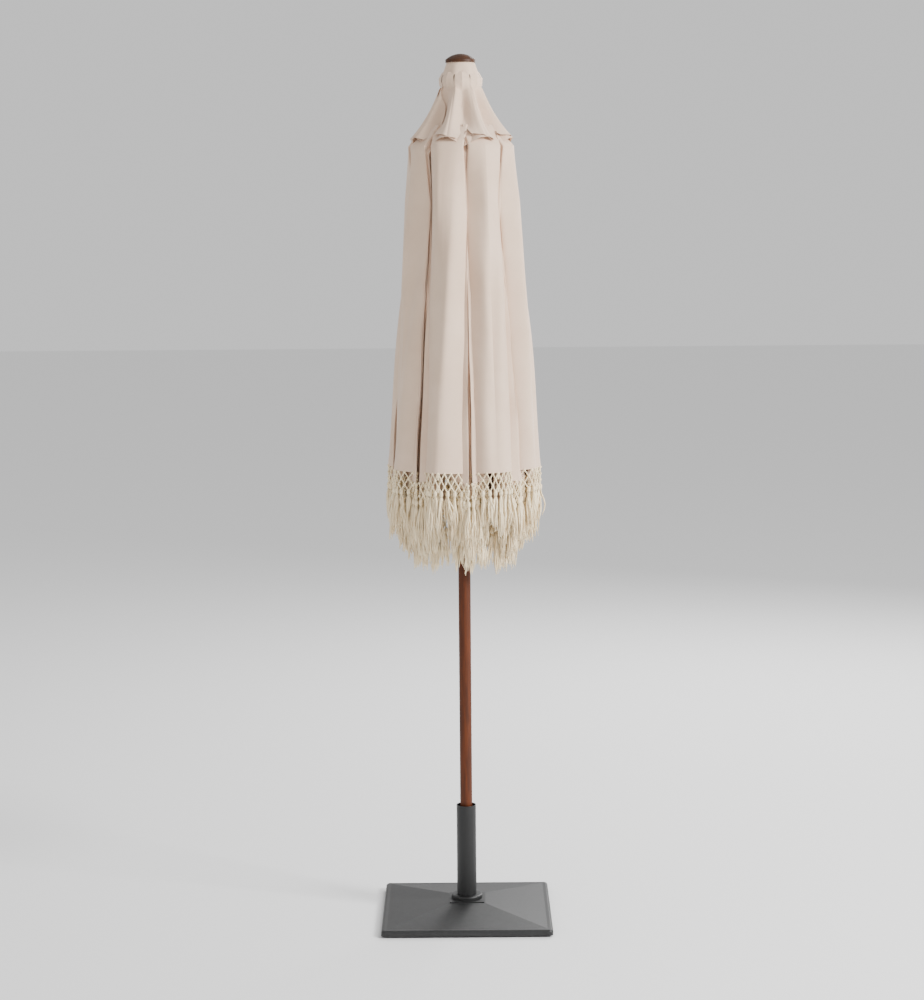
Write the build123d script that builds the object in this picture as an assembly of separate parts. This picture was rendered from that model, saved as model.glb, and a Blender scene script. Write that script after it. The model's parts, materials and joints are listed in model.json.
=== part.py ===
from build123d import *
import math
import os

# Patio umbrella with base, folded. Millimetres, +Z up, origin under the middle of the base.
# Every repeated part is drawn at azimuth 0, in the XZ plane, and turned about Z into place.

# Driving dimensions
OVERALL_HEIGHT = 2540.0
BASE_WIDTH = 500.0
TUBE_RADIUS = 29.0
TUBE_WALL = 2.0
TUBE_TOP = 333.0
POLE_RADIUS = 18.0
POLE_SEAM_Z = 980.0
PANELS = 8
FIRST_RIB_AZIMUTH = -86.0
RIB_LENGTH = 1250.0
FABRIC_LENGTH = 1300.0
CLOSED_ANGLE = 4.0
OPEN_ANGLE = 66.0
LINK_LENGTH = 500.0
PIVOT_RADIUS = 34.0
HUB_PIVOT_Z = 2470.0

# Frame parts
STEP_ANGLE = 360.0 / PANELS
HALF_STEP = STEP_ANGLE / 2
OPENING = OPEN_ANGLE - CLOSED_ANGLE
RIB_DEPTH, RIB_WIDTH = 22.0, 14.0
STRUT_DEPTH, STRUT_WIDTH = 18.0, 12.0
PIN_RADIUS, PIN_HOLE = 2.5, 2.6
STRUT_INSET = 22.0
SLOT_GAP = 0.5
RUNNER_BORE = POLE_RADIUS + 0.4
FINIAL_BASE_Z, FINIAL_RADIUS = 2515.0, 43.5
HUB_TOP_Z = 2494.0

# Base parts
FOOT_HEIGHT = 5.0
RIM_TOP, PLATFORM_Z = 22.0, 48.0
LEDGE = 16.0
PLATFORM_WIDTH = 102.0
PLUG_TOP = 62.0
CUP_FLOOR, CUP_TOP = 68.0, 110.0
LOCK_Z = 270.0

# Canopy: how far each line of cloth stands from the axis when folded
FACE_TOP_LENGTH = 200.0
FACE_TOP_RADIUS, FACE_HEM_RADIUS = 145.0, 218.0
FACE_HEM_Z = 1350.0
CLOTH_OFFSET = 13.0
FOLD_TOP_RADIUS, FOLD_HEM_RADIUS = 125.0, 140.0


def unit(vector):
    return vector * (1 / vector.length)


def turned(vector, axis, degrees):
    """vector turned about a unit axis by the right-hand rule."""
    a = math.radians(degrees)
    along = axis * (axis.dot(vector) * (1 - math.cos(a)))
    return vector * math.cos(a) + axis.cross(vector) * math.sin(a) + along


def moved(point, centre, axis, degrees):
    return centre + turned(point - centre, axis, degrees)


def hinge_between(top_from, hem_from, top_to, hem_to):
    """The one hinge that carries the first segment onto the second: (centre, axis, degrees)."""
    run_from, run_to = unit(hem_from - top_from), unit(hem_to - top_to)
    shift = top_to - top_from
    axis = (run_to - run_from).cross(shift)
    if axis.length < 1e-6:
        axis = run_from.cross(run_to)
    axis = unit(axis)
    flat_from = run_from - axis * axis.dot(run_from)
    flat_to = run_to - axis * axis.dot(run_to)
    angle = math.atan2(axis.dot(flat_from.cross(flat_to)), flat_from.dot(flat_to))
    centre = (top_from + top_to) * 0.5 + axis.cross(shift) * (0.5 / math.tan(angle / 2))
    return centre, axis, math.degrees(angle)


# Frame linkage, in the plane of a rib: the rib and the strut make an isosceles triangle on the pole
OPEN_AXIS = Vector(0, -1, 0)
HUB_PIVOT = Vector(PIVOT_RADIUS, 0, HUB_PIVOT_Z)
LINK_ANGLE = CLOSED_ANGLE - math.degrees(math.asin(STRUT_INSET / LINK_LENGTH))
STRUT_DROP = math.sqrt(LINK_LENGTH**2 - STRUT_INSET**2)
STRUT_PIVOT = HUB_PIVOT + turned(Vector(0, 0, -LINK_LENGTH), OPEN_AXIS, LINK_ANGLE)
RUNNER_PIVOT = Vector(PIVOT_RADIUS, 0, 2 * STRUT_PIVOT.Z - HUB_PIVOT_Z)

# Canopy geometry when open: eight flat panels whose edges lie on the ribs
RIB_RUN = turned(Vector(0, 0, -1), OPEN_AXIS, OPEN_ANGLE)
RIB_NORMAL = turned(Vector(1, 0, 0), OPEN_AXIS, OPEN_ANGLE)
ON_RIB = HUB_PIVOT + RIB_NORMAL * CLOTH_OFFSET
APEX = ON_RIB - RIB_RUN * (ON_RIB.X / RIB_RUN.X)
FACE_RUN = unit(Vector(RIB_RUN.X * math.cos(math.radians(HALF_STEP)), 0, RIB_RUN.Z))
PANEL_HALF_ANGLE = math.degrees(
    math.acos(turned(RIB_RUN, Vector(0, 0, 1), -HALF_STEP).dot(FACE_RUN))
)
FACE_LENGTH = FABRIC_LENGTH * math.cos(math.radians(PANEL_HALF_ANGLE))

# The middle line of a panel, in the panel's own plane, folded and open, and the hinge between them
FACE_SPAN = FACE_LENGTH - FACE_TOP_LENGTH
FACE_FALL = math.sqrt(FACE_SPAN**2 - (FACE_HEM_RADIUS - FACE_TOP_RADIUS) ** 2)
FACE_TOP = Vector(FACE_TOP_RADIUS, 0, FACE_HEM_Z + FACE_FALL)
FACE_HEM = Vector(FACE_HEM_RADIUS, 0, FACE_HEM_Z)
FACE_HINGE = hinge_between(
    FACE_TOP, FACE_HEM, APEX + FACE_RUN * FACE_TOP_LENGTH, APEX + FACE_RUN * FACE_LENGTH
)
FACE_CENTRE, FACE_AXIS, FACE_SWING = FACE_HINGE


def in_face(point):
    """Where a point of the open canopy lies on the folded face."""
    return moved(point, FACE_CENTRE, FACE_AXIS, -FACE_SWING)


def fold_hinge():
    """The hinge, on the folded face, that brings the panel's edge in beside the rib."""
    open_run = turned(RIB_RUN, Vector(0, 0, 1), -HALF_STEP)
    spread = turned(Vector(1, 0, 0), Vector(0, 0, 1), -HALF_STEP)
    top_length = FACE_TOP_LENGTH / math.cos(math.radians(PANEL_HALF_ANGLE))
    open_top, open_hem = APEX + open_run * top_length, APEX + open_run * FABRIC_LENGTH
    rib_hem = moved(APEX + RIB_RUN * FABRIC_LENGTH, HUB_PIVOT, OPEN_AXIS, -OPENING)
    inward = FOLD_HEM_RADIUS - FOLD_TOP_RADIUS
    rise = math.sqrt((FABRIC_LENGTH - top_length) ** 2 - inward**2)
    hem = spread * FOLD_HEM_RADIUS + Vector(0, 0, rib_hem.Z)
    top = spread * FOLD_TOP_RADIUS + Vector(0, 0, rib_hem.Z + rise)
    return hinge_between(top, hem, in_face(open_top), in_face(open_hem))


FOLD_CENTRE, FOLD_AXIS, FOLD_SWING = fold_hinge()


def rib_azimuth(index):
    return FIRST_RIB_AZIMUTH + STEP_ANGLE * index


def face_azimuth(index):
    return rib_azimuth(index) + HALF_STEP


def tube_of(radius, bottom, top, bore=0.0):
    """An upright cylinder or tube on the Z axis."""
    solid = Pos(0, 0, (bottom + top) / 2) * Cylinder(radius, top - bottom)
    if bore:
        solid -= Pos(0, 0, (bottom + top) / 2) * Cylinder(bore, top - bottom)
    return solid


def cross_pin(x, z, radius, length):
    """A cylinder along Y."""
    return Pos(x, 0, z) * Rot(90, 0, 0) * Cylinder(radius, length)


def radial(x_from, x_to, z, radius):
    """A cylinder along X."""
    return Pos((x_from + x_to) / 2, 0, z) * Rot(0, 90, 0) * Cylinder(radius, x_to - x_from)


def bar(depth, width, length):
    """A bar that hangs from a pivot at the origin and has a round end there."""
    body = Pos(0, 0, -length / 2) * Box(depth, width, length)
    return body + cross_pin(0, 0, depth / 2, width)


def rib():
    """The wooden bar, and the two cheek plates and pin that hold its strut."""
    wood = bar(RIB_DEPTH, RIB_WIDTH, RIB_LENGTH) - cross_pin(0, 0, PIN_HOLE, RIB_WIDTH * 2)
    tip = Pos(0, 0, -RIB_LENGTH) * Box(RIB_DEPTH, RIB_WIDTH, 60)
    wood = wood - tip + Pos(2, 0, -RIB_LENGTH + 15) * Box(RIB_DEPTH - 8, RIB_WIDTH - 2, 30)
    pieces = [wood.solid()]
    cheek, cheek_y = 3.0, RIB_WIDTH / 2
    for side in (-1, 1):
        plate = Pos(-13, side * (cheek_y + cheek / 2), -STRUT_DROP) * Box(34, cheek, 24)
        plate -= cross_pin(-STRUT_INSET, -STRUT_DROP, PIN_RADIUS, 60)
        pieces.append(plate.solid())
    pieces.append(cross_pin(-STRUT_INSET, -STRUT_DROP, PIN_RADIUS, 2 * (cheek_y + cheek)).solid())
    place = Pos(HUB_PIVOT.X, 0, HUB_PIVOT.Z) * Rot(0, -CLOSED_ANGLE, 0)
    return [place * piece for piece in pieces]


def strut():
    """The wooden strut from its rib down to the runner, round at both ends."""
    wood = bar(STRUT_DEPTH, STRUT_WIDTH, LINK_LENGTH)
    wood += cross_pin(0, -LINK_LENGTH, STRUT_DEPTH / 2, STRUT_WIDTH)
    wood -= cross_pin(0, 0, PIN_HOLE, 40)
    wood -= cross_pin(0, -LINK_LENGTH, PIN_RADIUS + 0.3, 40)
    return Pos(STRUT_PIVOT.X, 0, STRUT_PIVOT.Z) * Rot(0, LINK_ANGLE, 0) * wood


def slots(width, inner, outer, bottom, top):
    """The radial slots that the ribs or struts swing in."""
    middle = Pos((inner + outer) / 2, 0, (bottom + top) / 2)
    one = middle * Box(outer - inner, width, top - bottom)
    return [Rot(0, 0, rib_azimuth(i)) * one for i in range(PANELS)]


def ring_of_pins(z, length):
    one = cross_pin(PIVOT_RADIUS, z, PIN_RADIUS, length)
    return [(Rot(0, 0, rib_azimuth(i)) * one).solid() for i in range(PANELS)]


def hub():
    """The crown at the top of the pole, and the pins that the ribs hang from."""
    bottom, shoulder = HUB_PIVOT_Z - 14, HUB_PIVOT_Z + 14
    crown = tube_of(48, bottom, shoulder) + tube_of(36, shoulder, HUB_TOP_Z)
    crown -= tube_of(POLE_RADIUS, bottom, HUB_TOP_Z)
    for slot in slots(RIB_WIDTH + 2 * SLOT_GAP, 22.5, 60, bottom, HUB_PIVOT_Z + 12.5):
        crown -= slot
    pins = ring_of_pins(HUB_PIVOT_Z, 22)
    for pin in pins:
        crown -= pin
    return crown, pins


def runner():
    """The slider under the struts, with its pins and the hole for the stop pin."""
    z = RUNNER_PIVOT.Z
    bottom, flange, top = z - 75, z - 16, z + 12
    body = tube_of(28, bottom, flange) + tube_of(24, flange, top) + tube_of(46, flange, top)
    for slot in slots(STRUT_WIDTH + 2 * SLOT_GAP, 24, 60, z - 13, top):
        body -= slot
    body -= tube_of(RUNNER_BORE, bottom, top)
    pins = ring_of_pins(z, 20)
    for pin in pins:
        body -= pin
    body -= Rot(0, 0, face_azimuth(0)) * radial(10, 40, z - 45, 3.5)
    return [body.solid()] + pins


def stop_pin():
    """The pin that holds the runner up, stored in the runner's side while the umbrella is folded."""
    z = RUNNER_PIVOT.Z - 45
    pin = radial(19, 30, z, 3.45) + radial(28.3, 46, z, 8)
    return Rot(0, 0, face_azimuth(0)) * pin


def finial():
    neck = tube_of(30, HUB_TOP_Z, FINIAL_BASE_Z)
    rim = FINIAL_BASE_Z + 8
    dome = tube_of(FINIAL_RADIUS, FINIAL_BASE_Z, rim)
    dome_height = OVERALL_HEIGHT - rim
    ball_radius = (FINIAL_RADIUS**2 + dome_height**2) / (2 * dome_height)
    ball = Pos(0, 0, OVERALL_HEIGHT - ball_radius) * Sphere(ball_radius)
    dome += ball & tube_of(FINIAL_RADIUS, rim, OVERALL_HEIGHT + 1)
    return neck + dome - tube_of(5, HUB_TOP_Z, HUB_TOP_Z + 26)


def plate(origin, lateral, up, outline, thickness):
    """A flat plate through origin: outline gives (lateral, up) points, thickness is outward."""
    plane = Plane(origin=origin, x_dir=lateral, z_dir=lateral.cross(up))
    return extrude(plane * make_face(Polyline(*outline, close=True)), thickness)


def canopy_face():
    """The outer face of one folded panel, and the lower edge of the vent flap above it."""
    up = unit(FACE_TOP - FACE_HEM)
    start, end = 20.0, FACE_LENGTH - FACE_TOP_LENGTH - 50
    spread = 0.86 * math.tan(math.radians(HALF_STEP))
    low, high = FACE_HEM_RADIUS * spread, FACE_TOP_RADIUS * spread
    outline = [(-low, start), (low, start), (high, end), (-high, end)]
    face = plate(FACE_HEM, Vector(0, 1, 0), up, outline, -3)
    vent_foot, vent_top = Vector(149, 0, 2322), Vector(130, 0, 2360)
    rise = (vent_top - vent_foot).length
    outline = [(-50, 0), (50, 0), (46, rise), (-46, rise)]
    vent = plate(vent_foot, Vector(0, 1, 0), unit(vent_top - vent_foot), outline, -3)
    return [face.solid(), vent.solid()]


def canopy_fold(side):
    """The tucked edge of one folded panel, beside its rib. side is -1 or 1."""
    tangent = math.tan(math.radians(PANEL_HALF_ANGLE))
    corners = []
    for run, back in ((460, 28), (1180, 28), (1180, 6), (460, 6)):
        point = APEX + FACE_RUN * run + Vector(0, -(run * tangent - back), 0)
        corners.append(moved(in_face(point), FOLD_CENTRE, FOLD_AXIS, -FOLD_SWING))
    across = unit(corners[2] - corners[1])
    down = corners[1] - corners[0]
    up = unit(across * across.dot(down) - down)
    outline = [((c - corners[0]).dot(across), (c - corners[0]).dot(up)) for c in corners]
    outward = across.cross(up)
    thickness = 2.0 if outward.dot(Vector(1, 0, 0)) > 0 else -2.0
    strip = plate(corners[0], across, up, outline, thickness)
    return strip if side < 0 else mirror(strip, Plane.XZ)


def base_shell():
    middle = (FOOT_HEIGHT + RIM_TOP) / 2
    rim = Pos(0, 0, middle) * Box(BASE_WIDTH, BASE_WIDTH, RIM_TOP - FOOT_HEIGHT)
    rim = fillet(rim.edges().filter_by(Axis.Z), 12)
    rim = fillet(rim.faces().sort_by(Axis.Z)[-1].edges(), 8)
    foot_width = BASE_WIDTH - 2 * LEDGE
    pyramid = loft(
        [
            Pos(0, 0, RIM_TOP) * Rectangle(foot_width, foot_width),
            Pos(0, 0, PLATFORM_Z - 3) * Rectangle(PLATFORM_WIDTH + 8, PLATFORM_WIDTH + 8),
        ]
    )
    platform = Pos(0, 0, PLATFORM_Z - 3) * Box(PLATFORM_WIDTH, PLATFORM_WIDTH, 6)
    return rim + pyramid + platform - cavity() - tube_of(6.5, 0, PLATFORM_Z)


def cavity():
    """The space under the shell that the ballast fills."""
    floor = Pos(0, 0, (FOOT_HEIGHT + 19) / 2) * Box(456, 456, 19 - FOOT_HEIGHT)
    return floor + loft(
        [Pos(0, 0, 19) * Rectangle(440, 440), Pos(0, 0, 41) * Rectangle(100, 100)]
    )


def base_parts():
    ballast = cavity() - tube_of(6.5, 0, PLATFORM_Z) - tube_of(13, 0, 18)
    foot = tube_of(20, 0, FOOT_HEIGHT)
    feet = [(Pos(x, y) * foot).solid() for x in (-190, 190) for y in (-190, 190)]
    collar = tube_of(46, PLATFORM_Z, PLATFORM_Z + 12, TUBE_RADIUS)
    collar = fillet(collar.edges().group_by(Axis.Z)[-1].sort_by(SortBy.RADIUS)[-1], 4)
    tube = tube_of(TUBE_RADIUS, PLATFORM_Z, TUBE_TOP)
    tube -= tube_of(TUBE_RADIUS - TUBE_WALL, PLUG_TOP, TUBE_TOP)
    tube -= tube_of(6, PLATFORM_Z, PLUG_TOP - 2)
    tube -= along_y(20, 40, 6.5)
    bolt = tube_of(12, 10, 18) + tube_of(6, 18, PLUG_TOP - 4)
    boss = along_y(24, 42, 13) - tube_of(TUBE_RADIUS, 0, TUBE_TOP) - along_y(20, 50, 6.1)
    return ballast, feet, collar, tube, bolt, boss


def along_y(y_from, y_to, radius):
    """A cylinder behind the pole, at the lock screw's height."""
    middle = Pos(0, (y_from + y_to) / 2, LOCK_Z)
    return middle * Rot(90, 0, 0) * Cylinder(radius, y_to - y_from)


def lock_knob():
    knob = along_y(44, 74, 22)
    for i in range(6):
        a = math.radians(60 * i)
        x, z = 25 * math.cos(a), 25 * math.sin(a)
        knob -= Pos(x, 0, z) * along_y(40, 80, 6)
    return knob - along_y(44, 70, 6.1)


def pole_parts():
    lower = tube_of(POLE_RADIUS, CUP_FLOOR, POLE_SEAM_Z) - tube_of(11, 890, POLE_SEAM_Z)
    socket = tube_of(11, 890, POLE_SEAM_Z, 9.05)
    spigot = tube_of(9, 900, 1060)
    upper = tube_of(POLE_RADIUS, POLE_SEAM_Z, HUB_TOP_Z) - tube_of(9, POLE_SEAM_Z, 1060)
    upper -= tube_of(5, 2455, HUB_TOP_Z)
    cup = tube_of(26.6, PLUG_TOP, CUP_TOP) - tube_of(POLE_RADIUS + 0.1, CUP_FLOOR, CUP_TOP)
    return lower, socket, spigot, upper, cup


def save(name, shape):
    solids = shape if isinstance(shape, list) else [shape]
    solids = [s for item in solids for s in item.solids()]
    body = solids[0] if len(solids) == 1 else Compound(children=solids)
    export_step(body, f"parts/{name}.step")


def main():
    os.makedirs("parts", exist_ok=True)
    ballast, feet, collar, tube, bolt, boss = base_parts()
    lower, socket, spigot, upper, cup = pole_parts()
    crown, hub_pins = hub()
    save("base_shell", base_shell())
    save("base_ballast", ballast)
    save("base_feet", feet)
    save("base_collar", collar)
    save("base_tube", tube)
    save("tube_bolt", bolt)
    save("lock_boss", boss)
    save("lock_knob", lock_knob())
    save("lock_screw", along_y(POLE_RADIUS + 0.3, 62, 6))
    save("pole_cup", cup)
    save("pole_lower", lower)
    save("pole_socket", socket)
    save("pole_spigot", spigot)
    save("pole_upper", upper)
    save("hub_crown", crown)
    save("hub_pins", hub_pins)
    save("runner", runner())
    save("stop_pin", stop_pin())
    save("finial", finial())
    save("finial_dowel", tube_of(5, 2460, HUB_TOP_Z + 24))
    one_rib, one_strut, face = rib(), strut(), canopy_face()
    for i in range(PANELS):
        at_rib, at_face = Rot(0, 0, rib_azimuth(i)), Rot(0, 0, face_azimuth(i))
        save(f"rib_{i + 1}", [at_rib * piece for piece in one_rib])
        save(f"strut_{i + 1}", at_rib * one_strut)
        save(f"canopy_face_{i + 1}", [at_face * piece for piece in face])
        save(f"canopy_fold_{i + 1}a", at_face * canopy_fold(-1))
        save(f"canopy_fold_{i + 1}b", at_face * canopy_fold(1))


main()
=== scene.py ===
import json
import math

import bpy
import numpy as np
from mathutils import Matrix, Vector


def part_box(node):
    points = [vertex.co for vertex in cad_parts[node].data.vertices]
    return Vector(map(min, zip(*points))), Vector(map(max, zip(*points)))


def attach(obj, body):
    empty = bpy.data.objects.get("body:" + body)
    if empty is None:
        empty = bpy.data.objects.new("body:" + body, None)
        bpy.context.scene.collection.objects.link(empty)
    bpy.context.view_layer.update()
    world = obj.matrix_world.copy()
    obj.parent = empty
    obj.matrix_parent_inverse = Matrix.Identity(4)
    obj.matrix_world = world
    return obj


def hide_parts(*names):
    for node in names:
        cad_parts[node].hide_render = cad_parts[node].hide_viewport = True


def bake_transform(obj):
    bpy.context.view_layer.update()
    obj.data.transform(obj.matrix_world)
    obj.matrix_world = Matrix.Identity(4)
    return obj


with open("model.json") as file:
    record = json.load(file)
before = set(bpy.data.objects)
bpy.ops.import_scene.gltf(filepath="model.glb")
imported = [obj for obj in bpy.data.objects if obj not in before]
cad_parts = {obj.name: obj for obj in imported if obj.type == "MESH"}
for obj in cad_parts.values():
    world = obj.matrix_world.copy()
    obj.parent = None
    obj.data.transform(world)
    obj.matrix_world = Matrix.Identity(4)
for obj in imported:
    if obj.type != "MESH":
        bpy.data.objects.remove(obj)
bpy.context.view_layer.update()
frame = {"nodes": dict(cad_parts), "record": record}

# The folded umbrella. Metres, +Z up. The canopy is drawn open, as flat panels between the ribs,
# and each point is then carried back to the folded pose by the same hinges that open it.

OPEN_ANGLE = math.radians(66)
CLOTH_OFFSET = 0.013
FABRIC_LENGTH = 1.300
CANOPY_START = 0.226
VENT_START, VENT_END = 0.050, 0.246
VENT_LIFT = 0.010
RIB_HALF_WIDTH = 0.011
FOLDS = 3
FOLD_TIGHTNESS = 2.1        # each fold's straight leg takes 1 / 2.1 of its cloth
FOLD_ROUNDING = 0.007

RECORD = frame["record"]["behaviour"]
JOINTS = {j["name"]: j for j in RECORD["joints"]}
RATIOS = {c["joint"]: c["ratio"] for c in RECORD["couplings"]}
PANELS = sum(name.startswith("canopy_face_") for name in JOINTS)
OPENING = math.radians(JOINTS["canopy_open"]["range_deg"][1])
UP = np.array([0.0, 0.0, 1.0])


def rib_joint(index):
    return JOINTS["canopy_open" if index == 0 else f"rib_{index + 1}_hinge"]


def hinge(name):
    """A coupled hinge's point, axis and travel from folded to open."""
    joint = JOINTS[name]
    return np.array(joint["pos_m"]), np.array(joint["axis"]), RATIOS.get(name, 1.0) * OPENING


def turned(points, centre, axis, angles):
    """Points turned about an axis by the right-hand rule, each by its own angle."""
    axis = axis / np.linalg.norm(axis)
    away = np.atleast_2d(points) - centre
    cos, sin = np.cos(angles)[..., None], np.sin(angles)[..., None]
    along = (away @ axis)[:, None] * axis
    return centre + away * cos + np.cross(axis, away) * sin + along * (1 - cos)


def radial_of(axis):
    """The horizontal direction that a tangential hinge opens towards."""
    return np.cross(UP, axis)


# ---- Open canopy geometry, shared by every panel

def open_geometry():
    pivot, axis = np.array(rib_joint(0)["pos_m"]), np.array(rib_joint(0)["axis"])
    reach, height = math.hypot(pivot[0], pivot[1]), pivot[2]
    run_x, run_z = math.sin(OPEN_ANGLE), -math.cos(OPEN_ANGLE)
    back = (reach + CLOTH_OFFSET * -run_z) / run_x
    apex_z = height + CLOTH_OFFSET * run_x - back * run_z
    face_x = run_x * math.cos(math.pi / PANELS)
    length = math.hypot(face_x, run_z)
    return apex_z, face_x / length, run_z / length, length


APEX_Z, FACE_X, FACE_Z, EDGE_COS = open_geometry()
EDGE_TAN = math.sqrt(1 - EDGE_COS**2) / EDGE_COS
FACE_LENGTH = FABRIC_LENGTH * EDGE_COS


class Panel:
    """One panel: its hinge on the pole, and the hinge of its tucked edge on side -1 or 1."""

    def __init__(self, index, side):
        self.index, self.side = index, side
        self.face = f"canopy_face_{index + 1}"
        self.fold = f"canopy_fold_{index + 1}{'a' if side < 0 else 'b'}"
        self.face_hinge = hinge(self.face + "_hinge")
        self.fold_hinge = hinge(self.fold + "_hinge")
        self.out = radial_of(self.face_hinge[1])
        self.across = np.cross(UP, self.out) * side
        self.run = self.out * FACE_X + UP * FACE_Z
        self.normal = UP * FACE_X - self.out * FACE_Z

    def open_points(self, run, across, lift):
        apex = UP * APEX_Z
        return (
            apex
            + np.outer(run, self.run)
            + np.outer(across, self.across)
            + np.outer(lift, self.normal)
        )

    def folded(self, points, weights):
        centre, axis, travel = self.face_hinge
        points = turned(points, centre, axis, np.full(len(points), -travel))
        centre, axis, travel = self.fold_hinge
        return turned(points, centre, axis, -travel * weights)

    def edge(self, run):
        """How far the panel's edge, folded, lies from the panel's middle line."""
        width = np.atleast_1d(run) * EDGE_TAN
        ones = np.ones(len(width))
        at = self.folded(self.open_points(np.atleast_1d(run), width, 0 * ones), ones)
        return at @ self.across

    def face_radius(self, run):
        flat = np.zeros(1)
        at = self.folded(self.open_points(np.array([run]), flat, flat), flat)
        return float(at[0] @ self.out)


def fold_weights(panel, run, across, reach):
    """How much of the fold hinge each point takes: a flat face, then a zigzag beside the rib."""
    width = run * EDGE_TAN
    travel = max(width - float(panel.edge(run)[0]), 0.0)
    leg = travel / (FOLD_TIGHTNESS * FOLDS)
    turn = travel / FOLDS - leg
    reach = min(reach, leg + width - travel)
    places, weights = [0.0, max(reach, 0.004)], [0.0, 0.0]
    for k in range(1, FOLDS + 1):
        places.append(places[-1] + turn)
        weights.append(k / FOLDS)
        if k < FOLDS:
            places.append(places[-1] + leg)
            weights.append(k / FOLDS)
    spread = np.linspace(-1, 1, 7) * min(FOLD_ROUNDING, 0.25 * max(leg, 0.002))
    smooth = np.mean([np.interp(across + d, places, weights) for d in spread], axis=0)
    return np.where(across > width - 0.004, 1.0, smooth)


# ---- Mesh helpers

def mesh_object(name, points, faces, material, smooth=True):
    mesh = bpy.data.meshes.new(name)
    mesh.from_pydata([tuple(p) for p in points], [], [tuple(f) for f in faces])
    mesh.validate()
    mesh.update()
    mesh.polygons.foreach_set("use_smooth", [smooth] * len(mesh.polygons))
    obj = bpy.data.objects.new(name, mesh)
    bpy.context.scene.collection.objects.link(obj)
    obj.data.materials.append(material)
    return obj


def grid_faces(rows, columns):
    return [
        (r * columns + c, r * columns + c + 1, (r + 1) * columns + c + 1, (r + 1) * columns + c)
        for r in range(rows - 1)
        for c in range(columns - 1)
    ]


def bend(obj):
    """Bakes the object's transform into its mesh."""
    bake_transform(obj)


class Strands:
    """Many short tapered cords in one mesh, with one weight for each cord's points."""

    def __init__(self):
        self.points, self.faces, self.weights = [], [], []

    def cord(self, path, radii, weights, sides=5):
        path = np.asarray(path, float)
        start = len(self.points)
        for k, point in enumerate(path):
            ahead = path[min(k + 1, len(path) - 1)] - path[max(k - 1, 0)]
            ahead = ahead / max(np.linalg.norm(ahead), 1e-9)
            side = np.cross(ahead, [0.31, 0.85, 0.42])
            side /= np.linalg.norm(side)
            other = np.cross(ahead, side)
            for s in range(sides):
                a = 2 * math.pi * s / sides
                self.points.append(point + radii[k] * (side * math.cos(a) + other * math.sin(a)))
                self.weights.append(weights[k])
        for k in range(len(path) - 1):
            for s in range(sides):
                a, b = start + k * sides + s, start + k * sides + (s + 1) % sides
                self.faces.append((a, b, b + sides, a + sides))
        self.faces.append(tuple(start + s for s in reversed(range(sides))))
        last = start + (len(path) - 1) * sides
        self.faces.append(tuple(last + s for s in range(sides)))


# ---- Materials

def material(name, colour, roughness):
    mat = bpy.data.materials.new(name)
    mat.use_nodes = True
    shader = mat.node_tree.nodes["Principled BSDF"]
    shader.inputs["Base Color"].default_value = (*colour, 1)
    shader.inputs["Roughness"].default_value = roughness
    return mat, mat.node_tree, shader


def node(tree, kind, **values):
    made = tree.nodes.new(kind)
    for key, value in values.items():
        made.inputs[key.replace("_", " ")].default_value = value
    return made


def object_place(tree, stretch):
    coordinates = tree.nodes.new("ShaderNodeTexCoord")
    mapping = tree.nodes.new("ShaderNodeMapping")
    mapping.inputs["Scale"].default_value = stretch
    tree.links.new(coordinates.outputs["Object"], mapping.inputs["Vector"])
    return mapping.outputs["Vector"]


def ramp(tree, fac, stops):
    made = tree.nodes.new("ShaderNodeValToRGB")
    tree.links.new(fac, made.inputs["Fac"])
    elements = made.color_ramp.elements
    while len(elements) < len(stops):
        elements.new(0.5)
    for element, (place, colour) in zip(elements, stops):
        element.position = place
        element.color = (*colour, 1)
    return made.outputs["Color"]


def bump(tree, shader, height, strength, distance):
    made = node(tree, "ShaderNodeBump", Strength=strength, Distance=distance)
    tree.links.new(height, made.inputs["Height"])
    tree.links.new(made.outputs["Normal"], shader.inputs["Normal"])


def total(tree, a, b):
    made = tree.nodes.new("ShaderNodeMath")
    made.operation = "ADD"
    tree.links.new(a, made.inputs[0])
    tree.links.new(b, made.inputs[1])
    return made.outputs[0]


def fabric_material(name, light, dark):
    """Plain woven canvas: fine crossed threads, and soft uneven shading in the cloth."""
    mat, tree, shader = material(name, light, 0.92)
    shader.inputs["Sheen Weight"].default_value = 0.25
    place = object_place(tree, (1, 1, 1))
    cloudy = node(tree, "ShaderNodeTexNoise", Scale=6.0, Detail=5.0, Roughness=0.6)
    tree.links.new(place, cloudy.inputs["Vector"])
    colour = ramp(tree, cloudy.outputs["Fac"], [(0.3, dark), (0.7, light)])
    tree.links.new(colour, shader.inputs["Base Color"])
    around = node(tree, "ShaderNodeTexWave", Scale=260.0, Distortion=0.8)
    around.bands_direction = "DIAGONAL"
    upward = node(tree, "ShaderNodeTexWave", Scale=300.0, Distortion=0.6)
    upward.bands_direction = "Z"
    for wave in (around, upward):
        tree.links.new(place, wave.inputs["Vector"])
    weave = total(tree, around.outputs["Fac"], upward.outputs["Fac"])
    bump(tree, shader, weave, 0.25, 0.0004)
    return mat


def wood_material(name, light, dark, roughness):
    """Stained hardwood with its grain along the height."""
    mat, tree, shader = material(name, light, roughness)
    shader.inputs["Specular IOR Level"].default_value = 0.3
    place = object_place(tree, (60, 60, 3.5))
    grain = node(tree, "ShaderNodeTexNoise", Scale=2.2, Detail=8.0, Roughness=0.65, Distortion=0.6)
    tree.links.new(place, grain.inputs["Vector"])
    middle = tuple((a + b) / 2 for a, b in zip(light, dark))
    stops = [(0.32, dark), (0.5, middle), (0.68, light)]
    tree.links.new(ramp(tree, grain.outputs["Fac"], stops), shader.inputs["Base Color"])
    bump(tree, shader, grain.outputs["Fac"], 0.3, 0.0006)
    return mat


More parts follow.
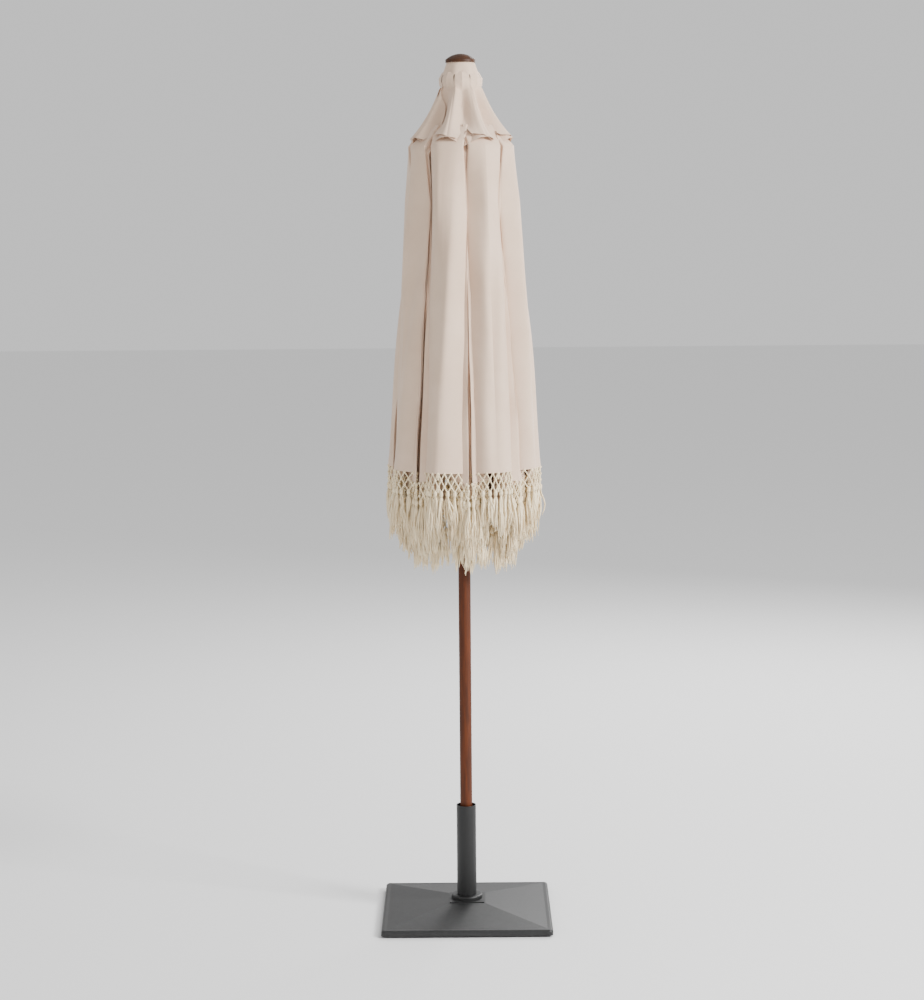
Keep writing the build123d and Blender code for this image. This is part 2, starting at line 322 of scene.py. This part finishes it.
def mottled_material(name, light, dark, roughness, scale, depth):
    """Moulded or coated surface with a faint mottle and fine texture."""
    mat, tree, shader = material(name, light, roughness)
    place = object_place(tree, (1, 1, 1))
    mottle = node(tree, "ShaderNodeTexNoise", Scale=scale, Detail=9.0, Roughness=0.7)
    tree.links.new(place, mottle.inputs["Vector"])
    colour = ramp(tree, mottle.outputs["Fac"], [(0.35, dark), (0.65, light)])
    tree.links.new(colour, shader.inputs["Base Color"])
    fine = node(tree, "ShaderNodeTexNoise", Scale=scale * 12, Detail=4.0)
    tree.links.new(place, fine.inputs["Vector"])
    bump(tree, shader, fine.outputs["Fac"], 0.35, depth)
    return mat


def metal_material(name, colour, roughness):
    mat, tree, shader = material(name, colour, roughness)
    shader.inputs["Metallic"].default_value = 1.0
    scuff = node(tree, "ShaderNodeTexNoise", Scale=180.0, Detail=6.0)
    tree.links.new(object_place(tree, (1, 1, 1)), scuff.inputs["Vector"])
    bump(tree, shader, scuff.outputs["Fac"], 0.15, 0.0003)
    return mat


CANVAS = fabric_material("canvas", (0.78, 0.585, 0.445), (0.69, 0.50, 0.365))
COTTON = fabric_material("cotton", (0.97, 0.83, 0.57), (0.84, 0.67, 0.42))
WOOD = wood_material("stained_wood", (0.115, 0.024, 0.002), (0.045, 0.009, 0.001), 0.55)
DARK_WOOD = wood_material("dark_wood", (0.075, 0.025, 0.006), (0.03, 0.010, 0.003), 0.55)
RESIN = mottled_material("base_resin", (0.015, 0.015, 0.0155), (0.007, 0.007, 0.007), 0.48, 60, 0.0006)
COAT = mottled_material("powder_coat", (0.005, 0.005, 0.005), (0.003, 0.003, 0.003), 0.45, 90, 0.0003)
PLASTIC = mottled_material("black_plastic", (0.02, 0.02, 0.02), (0.014, 0.014, 0.014), 0.5, 80, 0.0003)
CONCRETE = mottled_material("concrete", (0.45, 0.44, 0.42), (0.30, 0.29, 0.28), 0.9, 30, 0.001)
STEEL = metal_material("steel", (0.55, 0.54, 0.52), 0.35)

SLOT_MATERIALS = {
    "frame_wood": WOOD,
    "finial_wood": DARK_WOOD,
    "base_resin": RESIN,
    "tube_paint": COAT,
    "black_plastic": PLASTIC,
    "base_concrete": CONCRETE,
    "steel": STEEL,
}


def finish_cad_nodes():
    for part in frame["record"]["subparts"]:
        look = SLOT_MATERIALS.get(part["material_slot"])
        if look is None:
            continue
        obj = frame["nodes"][part["node"]]
        if not obj.material_slots:
            obj.data.materials.append(look)
        for slot in obj.material_slots:
            slot.link = "OBJECT"
            slot.material = look


# ---- Canopy

PANEL_ROWS, PANEL_COLUMNS = 64, 84
FACE_SHARE = 0.85           # outer face's share of its sector, before each panel's own change
FRONT_SLACK = 0.05          # the folds at the front are deeper than those at the back
WIDTH_CHANGE = 0.13
HEM_SLACK = 0.05            # the outer faces narrow a little towards the hem
SWELL, SLOW_SWELL = 0.007, 0.0045
EDGE_DIP = -0.042
LONG_FOLD, FOLD_SLANT = 0.0095, 30
CREASE = 0.0022
TOP_TUCK, TUCK_LENGTH = -0.052, 0.062
HEM_WIDTH, HEM_THICKNESS = 0.03, 0.0012


def uneven(index, side):
    """Each half panel's own width and fullness, the same on every run. Where a panel is wider, its
    neighbour across the rib is narrower."""
    rng = np.random.default_rng(100 + 2 * index + (side > 0))
    rib = index if side < 0 else (index + 1) % PANELS
    shift = np.random.default_rng(40 + rib).uniform(-WIDTH_CHANGE, WIDTH_CHANGE)
    deepest = math.cos(2 * math.pi * (rib + 0.5) / PANELS)
    share = FACE_SHARE - FRONT_SLACK * deepest + side * shift
    return share, rng.uniform(0.75, 1.25), rng.uniform(0, 2 * math.pi)


def face_reach(panel, run, share):
    """How far the flat outer face reaches to the side of the panel's middle line."""
    half_sector = math.tan(math.pi / PANELS)
    return share * (1 - HEM_SLACK * run / FACE_LENGTH) * panel.face_radius(run) * half_sector


def cloth_lift(panel, run, across, reach, fullness, phase):
    """Fullness of the outer face: round across, with long shallow folds down it."""
    shape = np.random.default_rng(700 + panel.index)
    swell, turn = shape.uniform(0.5, 1.4), shape.uniform(0, 2 * math.pi)
    share = np.clip(across / max(reach, 0.02), 0, 1)
    fade = np.clip((run - CANOPY_START) / 0.22, 0, 1)
    middle = SWELL * swell + SLOW_SWELL * math.sin(3.4 * run + turn)
    edge = EDGE_DIP * fullness
    round_face = middle + (edge - middle) * share**2.2
    slant = FOLD_SLANT * panel.side * across
    long_folds = LONG_FOLD * np.sin(math.pi * share) * np.sin(5.2 * run + phase + slant)
    creases = CREASE * np.sin(13 * run + phase + 60 * across) * np.minimum(share * 3, 1)
    inner = np.exp(-(np.maximum(across - reach, 0) / 0.07) ** 2)
    tuck = TOP_TUCK * np.clip(1 - (run - CANOPY_START) / TUCK_LENGTH, 0, 1)
    return fade * (round_face * inner + long_folds + creases) + tuck


def half_panel(index, side):
    """Half of one panel, from its middle line to its edge beside the rib, with its fringe."""
    panel = Panel(index, side)
    share, fullness, phase = uneven(index, side)
    rows, columns = PANEL_ROWS, PANEL_COLUMNS
    runs = np.linspace(CANOPY_START, FACE_LENGTH, rows)
    points, weights = [], []
    for run in runs:
        across = np.linspace(0, run * EDGE_TAN, columns)
        reach = face_reach(panel, run, share)
        row = fold_weights(panel, run, across, reach)
        lift = cloth_lift(panel, run, across, reach, fullness, phase)
        lift *= np.clip((run * EDGE_TAN - across - RIB_HALF_WIDTH) / 0.02, 0, 1)
        if run > FACE_LENGTH - HEM_WIDTH:
            lift += HEM_THICKNESS
        open_row = panel.open_points(np.full(columns, run), across, lift)
        points.append(panel.folded(open_row, row))
        weights.append(row)
    points, weights = np.concatenate(points), np.concatenate(weights)
    suffix = f"{index + 1}{'a' if side < 0 else 'b'}"
    faces = grid_faces(rows, columns)
    if side > 0:
        faces = [tuple(reversed(f)) for f in faces]
    cloth = mesh_object(f"canopy_panel_{suffix}", points, faces, CANVAS)
    bend(cloth)
    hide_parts(panel.fold, *([panel.face] if side < 0 else []))
    fringe = half_fringe(panel, suffix)


# ---- Fringe

KNOT_PITCH = 0.0165
BAND_DROP = 0.055
KNOT_ROWS = 3
NET_RADIUS = 0.0019
KNOT_RADII = [0.0016, 0.0040, 0.0040, 0.0016]
TASSEL_HEAD = [0.002, 0.0052, 0.0056, 0.0035]
TASSEL_TAPER = [0.0022, 0.0026, 0.0025, 0.0022, 0.0017, 0.0007]
TASSEL_ENDS = 9
TASSEL_LENGTHS = 0.080, 0.115


def half_fringe(panel, suffix):
    """Knotted net under the hem, with a tassel below each of its lowest knots."""
    rng = np.random.default_rng(500 + 2 * panel.index + (panel.side > 0))
    share, fullness, phase = uneven(panel.index, panel.side)
    width = FACE_LENGTH * EDGE_TAN
    count = int(width / KNOT_PITCH)
    reach = face_reach(panel, FACE_LENGTH, share)
    strands = Strands()

    def hem_point(place, drop):
        place = min(max(place, 0.001), width - 0.001)
        at = np.array([place])
        weight = fold_weights(panel, FACE_LENGTH, at, reach)
        lift = cloth_lift(panel, FACE_LENGTH, at, reach, fullness, phase)
        point = panel.folded(panel.open_points(np.array([FACE_LENGTH]), at, lift), weight)[0]
        return point - UP * drop, float(weight[0])

    row_drop = BAND_DROP / KNOT_ROWS
    for k in range(count + 1):
        for row in range(KNOT_ROWS):
            shift = 0.5 * (row % 2)
            start, weight = hem_point((k + shift) * KNOT_PITCH, row * row_drop)
            for step in (-0.5, 0.5):
                end, _ = hem_point((k + shift + step) * KNOT_PITCH, (row + 1) * row_drop)
                strands.cord([start, (start + end) / 2, end], [NET_RADIUS] * 3, [weight] * 3)
            knot = start - UP * 0.001
            stack = [knot + UP * 0.004, knot + UP * 0.001, knot - UP * 0.002, knot - UP * 0.005]
            strands.cord(stack, KNOT_RADII, [weight] * 4, 6)
        shift = 0.5 * (KNOT_ROWS % 2)
        top, weight = hem_point((k + shift) * KNOT_PITCH, BAND_DROP)
        tassel(strands, rng, top, weight, panel)
    fringe = mesh_object(f"fringe_{suffix}", strands.points, strands.faces, COTTON)
    bend(fringe)
    return fringe


def tassel(strands, rng, top, weight, panel):
    """A knot with a bunch of twisted cotton ends that spread and thin towards their tips."""
    stack = [top + UP * 0.006, top + UP * 0.002, top - UP * 0.006, top - UP * 0.012]
    strands.cord(stack, TASSEL_HEAD, [weight] * 4, 7)
    length = rng.uniform(*TASSEL_LENGTHS)
    lean = panel.across * rng.normal(0, 0.006) + panel.out * rng.normal(0, 0.006)
    for _ in range(TASSEL_ENDS):
        spread = panel.across * rng.normal(0, 0.0042) + panel.out * rng.normal(0, 0.0042)
        wave = panel.across * rng.normal(0, 0.0022) + panel.out * rng.normal(0, 0.0022)
        end = length * rng.uniform(0.8, 1.08)
        path = []
        for t in np.linspace(0, 1, 6):
            sway = spread * min(1.0, 2.2 * t) + lean * t**1.5 + wave * math.sin(7 * t)
            path.append(top - UP * (0.008 + end * t) + sway)
        strands.cord(path, TASSEL_TAPER, [weight] * 6, 4)


# ---- Vent flap: one lobed petal over each rib, folded by the rib's own hinge

VENT_ROWS, VENT_COLUMNS = 30, 81
VENT_OVERLAP = 0.0035
UNDER_TRIM, OVER_EXTRA = 0.05, 0.03
VENT_SHOULDER = 0.10        # the top tenth of a petal eases into its fold


def vent_depth(index, t):
    """How far a vent valley is pressed in towards its rib, from the top of the flap to its hem."""
    own = np.random.default_rng(900 + index % PANELS).uniform(0.85, 1.15)
    return own * (0.003 + 0.011 * t + 0.017 * math.sin(math.pi * t**1.5) ** 1.2)


def vent_section(index, t, lateral):
    """Folded distance out from the pole's axis: lobes between the ribs, and a valley on each rib.
    Past the lobe one side lies over the neighbour, the other side under it."""
    half = math.pi / PANELS
    lobe = 0.050 + 0.070 * t + 0.031 * t**2
    angles = np.linspace(0, 1.5, 301)
    spread = []
    for side in (-1, 1):
        deep = np.where(angles < half, vent_depth(index, t), vent_depth(index + side, t))
        radius = lobe - deep * np.cos(PANELS / 2 * angles) ** 2
        radius = radius + side * VENT_OVERLAP * np.clip((angles - half) / 0.10, 0, 1)
        spread.append(np.interp(np.abs(lateral), radius * np.sin(angles), radius * np.cos(angles)))
    return np.where(lateral < 0, spread[0], spread[1])


def vent_petal(index):
    """Each point swings about the rib's hinge until it is as far out as the folded section says."""
    joint = rib_joint(index)
    pivot, axis = np.array(joint["pos_m"]), np.array(joint["axis"])
    out = radial_of(axis)
    across = np.cross(UP, out)
    reach, height = pivot @ out, pivot[2]
    rows, columns = VENT_ROWS, VENT_COLUMNS
    half = math.pi / PANELS
    points, weights = [], []
    side = np.linspace(-1, 1, columns)
    under, over = np.clip(-2 * side - 1, 0, 1), np.clip(2 * side - 1, 0, 1)
    scallop = 1 - UNDER_TRIM * under + OVER_EXTRA * over
    for t in np.linspace(0, 1, rows):
        run = VENT_START + t * (VENT_END - VENT_START) * scallop
        middle_x = run * FACE_X - VENT_LIFT * FACE_Z
        middle_z = APEX_Z + run * FACE_Z + VENT_LIFT * FACE_X
        lateral = middle_x * math.sin(half) * side
        rib_x = middle_x / math.cos(half)
        open_x = rib_x - (rib_x - middle_x * math.cos(half)) * np.abs(side)
        target = vent_section(index, t, lateral)
        away_x, away_z = open_x - reach, middle_z - height
        wanted = np.clip((target - reach) / np.hypot(away_x, away_z), -0.2, 0.98)
        turn = np.clip(np.arctan2(away_z, away_x) + np.arccos(wanted), 0, None)
        turn = turn * min(t / VENT_SHOULDER, 1.0)
        flat = np.outer(middle_z, UP) + np.outer(open_x, out) + np.outer(lateral, across)
        points.append(turned(flat, pivot, axis, -turn))
        weights.append(turn / OPENING)
    points, weights = np.concatenate(points), np.concatenate(weights)
    petal = mesh_object(f"vent_flap_{index + 1}", points, grid_faces(rows, columns), CANVAS)
    bend(petal)


PATCH_ABOVE_HUB, PATCH_BELOW_HUB = 0.021, 0.015
PATCH_RADIUS, PATCH_FLARE = 0.040, 0.014


def crown_patch():
    """The small cone of cloth that closes the canopy under the finial."""
    hub_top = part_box("hub_crown")[1].z
    top_z, foot_z = hub_top + PATCH_ABOVE_HUB, hub_top - PATCH_BELOW_HUB
    rows, columns = 14, 97
    points = []
    first = math.atan2(*reversed(radial_of(np.array(rib_joint(0)["axis"]))[:2]))
    for t in np.linspace(0, 1, rows):
        radius = PATCH_RADIUS + PATCH_FLARE * t
        for a in np.linspace(0, 2 * math.pi, columns)[:-1]:
            lobe = 1 - 0.03 * t * math.cos(PANELS * (a - first))
            z = top_z + (foot_z - top_z) * t
            points.append((radius * lobe * math.cos(a), radius * lobe * math.sin(a), z))
    ring = columns - 1
    faces = [
        (r * ring + c, (r + 1) * ring + c, (r + 1) * ring + (c + 1) % ring, r * ring + (c + 1) % ring)
        for r in range(rows - 1)
        for c in range(ring)
    ]
    patch = mesh_object("crown_patch", points, faces, CANVAS)
    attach(patch, "pole_upper")


# ---- Stage

FLOOR_SIZE = 30.0
SKY_LIGHT = 0.8
LIGHTS = {
    "key": ((4.6, -2.6, 3.8), (0, 0, 1.4), 1.6, 560),
    "fill": ((-3.5, -4.5, 2.5), (0, 0, 1.3), 3.0, 25),
    "back": ((2.0, 4.0, 3.5), (0, 0, 0.8), 2.5, 240),
}
CAMERA_PLACE = (0.001, -6.8, 2.08)
CAMERA_DOWN, CAMERA_ROLL = 6.97, 0.45
LENS, SENSOR = 83.9, 36


def area_light(name, place, target, size, power):
    data = bpy.data.lights.new(name, "AREA")
    data.size, data.energy = size, power
    light = bpy.data.objects.new(name, data)
    bpy.context.scene.collection.objects.link(light)
    light.location = place
    aim(light, target)


def aim(obj, target):
    direction = Vector(target) - obj.location
    obj.rotation_euler = direction.to_track_quat("-Z", "Y").to_euler()


def studio():
    floor_material, tree, _ = material("floor", (0.86, 0.86, 0.86), 0.9)
    size = FLOOR_SIZE
    corners = [(-size, -size, 0), (size, -size, 0), (size, size, 0), (-size, size, 0)]
    floor = mesh_object("studio_floor", corners, [(0, 1, 2, 3)], floor_material, False)
    world = bpy.data.worlds.new("studio")
    world.use_nodes = True
    world.node_tree.nodes["Background"].inputs["Color"].default_value = (1, 1, 1, 1)
    world.node_tree.nodes["Background"].inputs["Strength"].default_value = SKY_LIGHT
    bpy.context.scene.world = world
    for name, setting in LIGHTS.items():
        area_light(name, *setting)


def camera():
    data = bpy.data.cameras.new("camera")
    data.lens, data.sensor_width = LENS, SENSOR
    made = bpy.data.objects.new("camera", data)
    bpy.context.scene.collection.objects.link(made)
    made.location = CAMERA_PLACE
    made.rotation_euler = (math.radians(90 - CAMERA_DOWN), math.radians(CAMERA_ROLL), 0)
    bpy.context.scene.camera = made


camera()
studio()
finish_cad_nodes()
for number in range(PANELS):
    for which_side in (-1, 1):
        half_panel(number, which_side)
    vent_petal(number)
crown_patch()
